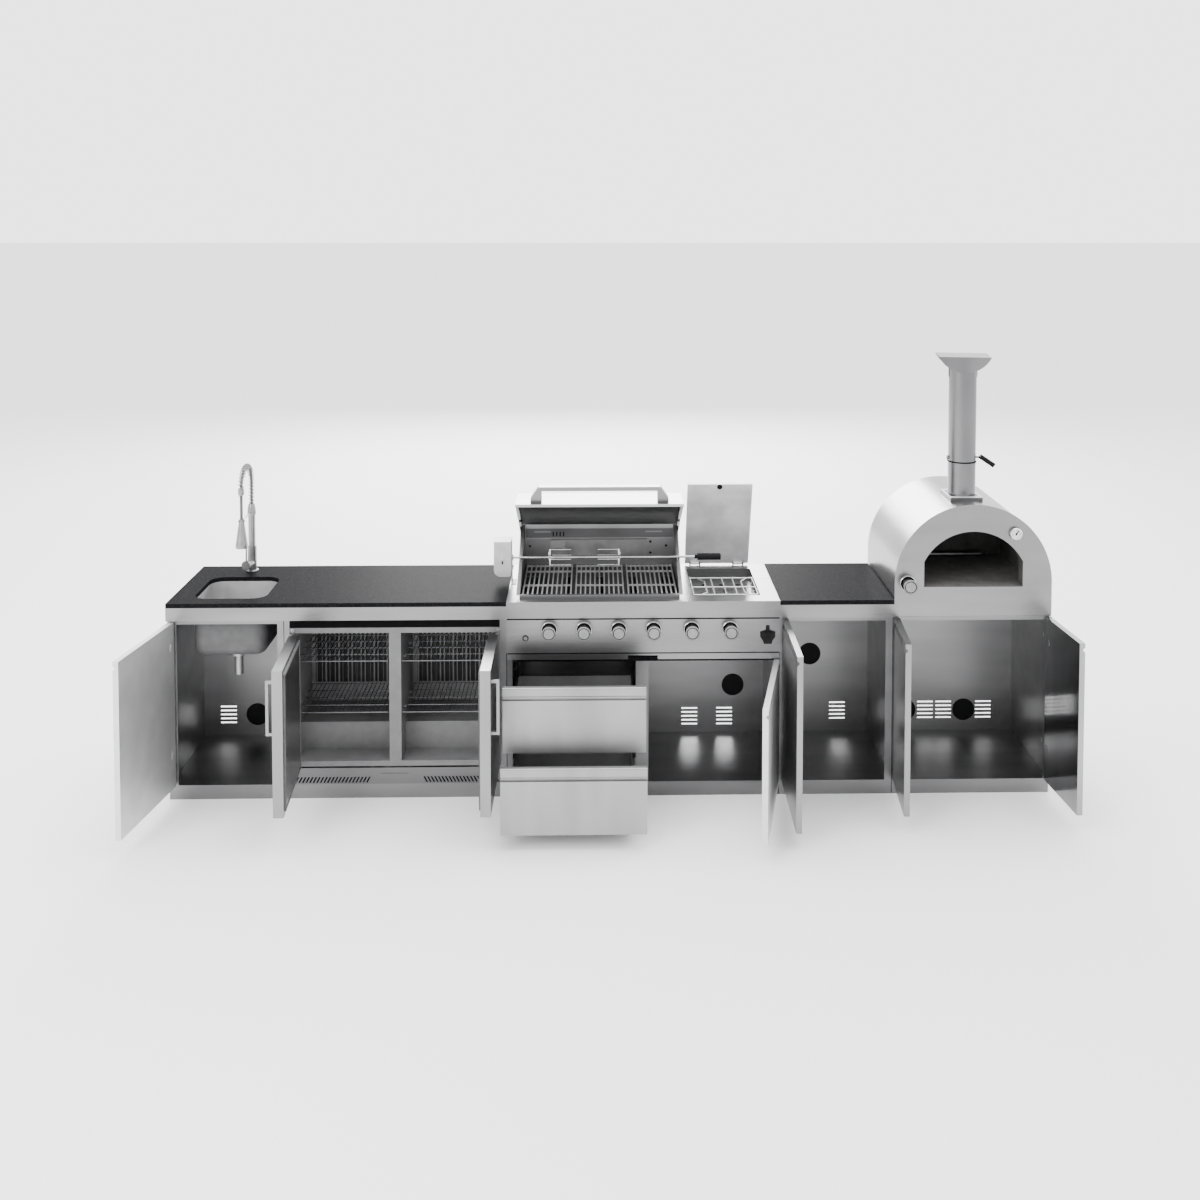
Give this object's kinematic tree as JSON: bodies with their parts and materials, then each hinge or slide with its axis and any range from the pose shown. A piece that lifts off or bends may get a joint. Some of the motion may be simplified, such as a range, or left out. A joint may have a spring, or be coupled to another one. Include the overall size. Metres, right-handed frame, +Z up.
{
  "type": "outdoor kitchen island",
  "caption": "Long steel outdoor kitchen island: sink with tap, two-door drinks fridge, gas grill with hood, side burner, drawers, cupboards and an arched pizza oven with chimney.",
  "frame": {"origin": "on the floor under the middle of the island's length, in the cabinets' front plane", "axes": "+X along the island to the oven's end, +Y from the front to the back, +Z up"},
  "size_m": [4.1086, 1.2698, 2.006],
  "materials": {
    "brushed steel": "brushed",
    "chrome": "polished",
    "knob metal": "satin",
    "granite": "polished",
    "cast iron": "matte",
    "brass": "satin",
    "grey plastic": "satin",
    "black paint": "satin",
    "black plastic": "satin",
    "rubber": "matte",
    "refractory": "matte",
    "dial metal": "polished"
  },
  "bodies": {
    "island": {"sink_cabinet": "brushed steel", "fridge_bay": "brushed steel", "grill_cabinet": "brushed steel", "narrow_cabinet": "brushed steel", "oven_cabinet": "brushed steel", "back_panels": "brushed steel", "granite_worktops": "granite", "worktop_bands": "brushed steel", "sink_bowl": "brushed steel", "faucet_post": "chrome", "fridge_case": "grey plastic", "fridge_shelves": "chrome", "fridge_kick_grille": "brushed steel", "fridge_compressor": "black paint", "control_panel": "brushed steel", "grill_deck": "brushed steel", "firebox": "brushed steel", "cooking_grates": "cast iron", "flame_tamers": "brushed steel", "burners": "brushed steel", "gas_manifold": "brass", "knob_bezels": "chrome", "bottle_opener": "black paint", "rotisserie_motor": "black paint", "cabinet_hardware": "brushed steel", "oven_front": "brushed steel", "oven_shell": "brushed steel", "oven_lining": "refractory", "oven_stones": "refractory", "oven_thermometer": "dial metal", "chimney": "brushed steel"},
    "spout": {"faucet_hose": "rubber", "faucet_spring": "chrome", "faucet_spray_head": "chrome"},
    "tap_lever": {"faucet_lever": "chrome"},
    "sink_leaf": {"sink_door": "brushed steel"},
    "fridge_leaf_left": {"fridge_door_left": "brushed steel", "fridge_gasket_left": "rubber"},
    "fridge_leaf_right": {"fridge_door_right": "brushed steel", "fridge_gasket_right": "rubber"},
    "igniter": {"igniter_button": "chrome"},
    "knob_1": {"burner_knob_1": "knob metal"},
    "knob_2": {"burner_knob_2": "knob metal"},
    "knob_3": {"burner_knob_3": "knob metal"},
    "knob_4": {"burner_knob_4": "knob metal"},
    "knob_5": {"burner_knob_5": "knob metal"},
    "knob_6": {"burner_knob_6": "knob metal"},
    "pizza_knob": {"oven_knob": "knob metal"},
    "upper_drawer": {"drawer_top": "brushed steel"},
    "lower_drawer": {"drawer_bottom": "brushed steel"},
    "tray": {"grease_tray": "brushed steel"},
    "grill_leaf": {"grill_door": "brushed steel"},
    "narrow_leaf": {"narrow_door": "brushed steel"},
    "oven_leaf_left": {"oven_door_left": "brushed steel"},
    "oven_leaf_right": {"oven_door_right": "brushed steel"},
    "grill_hood": {"hood": "brushed steel"},
    "spit": {"rotisserie_spit": "chrome", "spit_handle": "black plastic"},
    "burner_lid": {"side_burner_lid": "brushed steel"},
    "flue_damper": {"damper": "brushed steel"}
  },
  "joints": [
    {"name": "spout_swivel", "type": "hinge", "parent": "island", "child": "spout", "pos_m": [-1.754, 0.504, 1.216], "axis": [0, 0, 1], "range_deg": [-100, 100]},
    {"name": "tap_lever_turn", "type": "hinge", "parent": "island", "child": "tap_lever", "pos_m": [-1.76827, 0.44675, 0.95], "axis": [-0.2419, -0.9703, 0], "range_deg": [-45, 45]},
    {"name": "sink_door_hinge", "type": "hinge", "parent": "island", "child": "sink_leaf", "pos_m": [-1.997, -0.0205, 0.446], "axis": [0, 0, -1], "range_deg": [-98, 12]},
    {"name": "fridge_left_hinge", "type": "hinge", "parent": "island", "child": "fridge_leaf_left", "pos_m": [-1.448, -0.046, 0.46], "axis": [0, 0, -1], "range_deg": [-86.2, 6.8]},
    {"name": "fridge_right_hinge", "type": "hinge", "parent": "island", "child": "fridge_leaf_right", "pos_m": [-0.518, -0.046, 0.46], "axis": [0, 0, 1], "range_deg": [-89.8, 0]},
    {"name": "igniter_press", "type": "slide", "parent": "island", "child": "igniter", "axis": [0, 1, 0], "range_m": [0, 0.004], "stiffness_N_per_m": 400},
    {"name": "knob_1_turn", "type": "hinge", "parent": "island", "child": "knob_1", "pos_m": [-0.285, -0.06, 0.782], "axis": [0, -1, 0], "range_deg": [0, 240]},
    {"name": "knob_2_turn", "type": "hinge", "parent": "island", "child": "knob_2", "pos_m": [-0.1275, -0.06, 0.782], "axis": [0, -1, 0], "range_deg": [0, 240]},
    {"name": "knob_3_turn", "type": "hinge", "parent": "island", "child": "knob_3", "pos_m": [0.0305, -0.06, 0.782], "axis": [0, -1, 0], "range_deg": [0, 240]},
    {"name": "knob_4_turn", "type": "hinge", "parent": "island", "child": "knob_4", "pos_m": [0.1885, -0.06, 0.782], "axis": [0, -1, 0], "range_deg": [0, 240]},
    {"name": "knob_5_turn", "type": "hinge", "parent": "island", "child": "knob_5", "pos_m": [0.362, -0.06, 0.782], "axis": [0, -1, 0], "range_deg": [0, 240]},
    {"name": "knob_6_turn", "type": "hinge", "parent": "island", "child": "knob_6", "pos_m": [0.537, -0.06, 0.782], "axis": [0, -1, 0], "range_deg": [0, 240]},
    {"name": "pizza_knob_turn", "type": "hinge", "parent": "island", "child": "pizza_knob", "pos_m": [1.345, -0.05, 0.987], "axis": [0, -1, 0], "range_deg": [0, 240]},
    {"name": "upper_drawer_slide", "type": "slide", "parent": "island", "child": "upper_drawer", "axis": [0, -1, 0], "range_m": [-0.331, 0.159]},
    {"name": "lower_drawer_slide", "type": "slide", "parent": "island", "child": "lower_drawer", "axis": [0, -1, 0], "range_m": [-0.48, 0.01]},
    {"name": "grease_tray_slide", "type": "slide", "parent": "island", "child": "tray", "axis": [0, -1, 0], "range_m": [0, 0.3]},
    {"name": "grill_door_hinge", "type": "hinge", "parent": "island", "child": "grill_leaf", "pos_m": [0.758, -0.0205, 0.352], "axis": [0, 0, 1], "range_deg": [-78, 10]},
    {"name": "narrow_door_hinge", "type": "hinge", "parent": "island", "child": "narrow_leaf", "pos_m": [0.784, -0.0205, 0.446], "axis": [0, 0, -1], "range_deg": [-91, 0]},
    {"name": "oven_left_hinge", "type": "hinge", "parent": "island", "child": "oven_leaf_left", "pos_m": [1.295, -0.0205, 0.446], "axis": [0, 0, -1], "range_deg": [-95, 3]},
    {"name": "oven_right_hinge", "type": "hinge", "parent": "island", "child": "oven_leaf_right", "pos_m": [2.0045, -0.0205, 0.446], "axis": [0, 0, 1], "range_deg": [-94, 16]},
    {"name": "hood_hinge", "type": "hinge", "parent": "island", "child": "grill_hood", "pos_m": [-0.0555, 0.505, 0.987], "axis": [-1, 0, 0], "range_deg": [-50, 17]},
    {"name": "spit_turn", "type": "hinge", "parent": "island", "child": "spit", "pos_m": [0, 0.29, 1.0272], "axis": [1, 0, 0], "continuous": true},
    {"name": "side_lid_hinge", "type": "hinge", "parent": "island", "child": "burner_lid", "pos_m": [0.5255, 0.558, 0.918], "axis": [-1, 0, 0], "range_deg": [-38, 23]},
    {"name": "damper_turn", "type": "hinge", "parent": "island", "child": "flue_damper", "pos_m": [1.638, 0.168, 1.526], "axis": [1, 0, 0], "range_deg": [-25, 65]}
  ]
}
